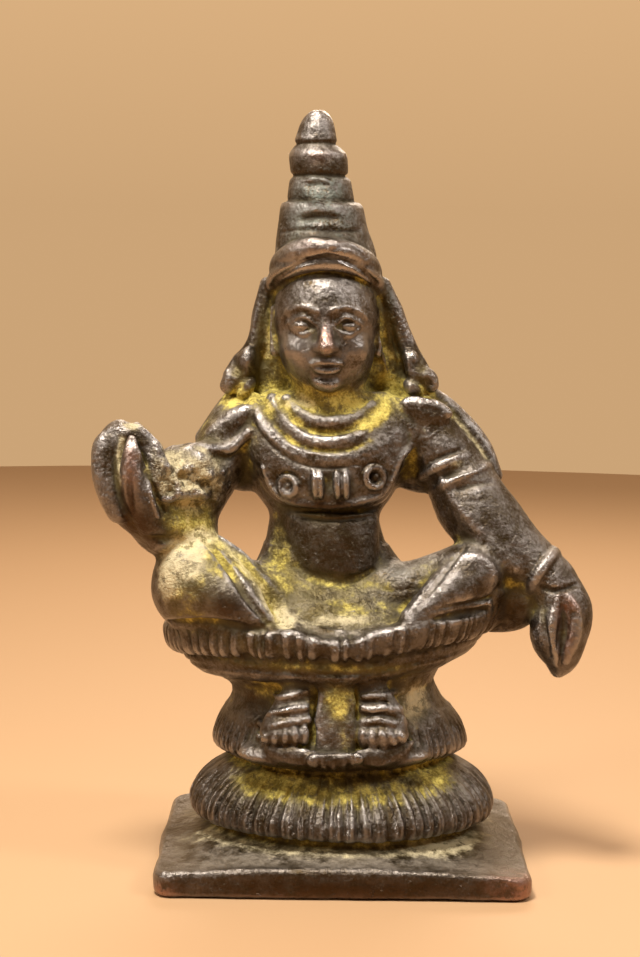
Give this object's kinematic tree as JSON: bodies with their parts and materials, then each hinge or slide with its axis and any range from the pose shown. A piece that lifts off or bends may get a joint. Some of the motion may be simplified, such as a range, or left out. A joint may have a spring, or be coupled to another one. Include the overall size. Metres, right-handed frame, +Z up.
{
  "type": "seated deity statue",
  "caption": "Small solid-cast bronze shrine figure: a seated deity in a tall ringed crown, on a lotus seat, a lotus footstool and a square plinth.",
  "frame": {"origin": "middle of the plinth's underside", "axes": "+Z up, -Y the way the figure faces, +X to the right of someone who looks at its face"},
  "size_m": [0.0652, 0.039, 0.1],
  "materials": {
    "bronze": "dark brown patina on cast bronze, with yellow-green residue in the recesses and copper-red wear on the high places"
  },
  "bodies": {
    "root": {"statue": "bronze"}
  },
  "joints": []
}
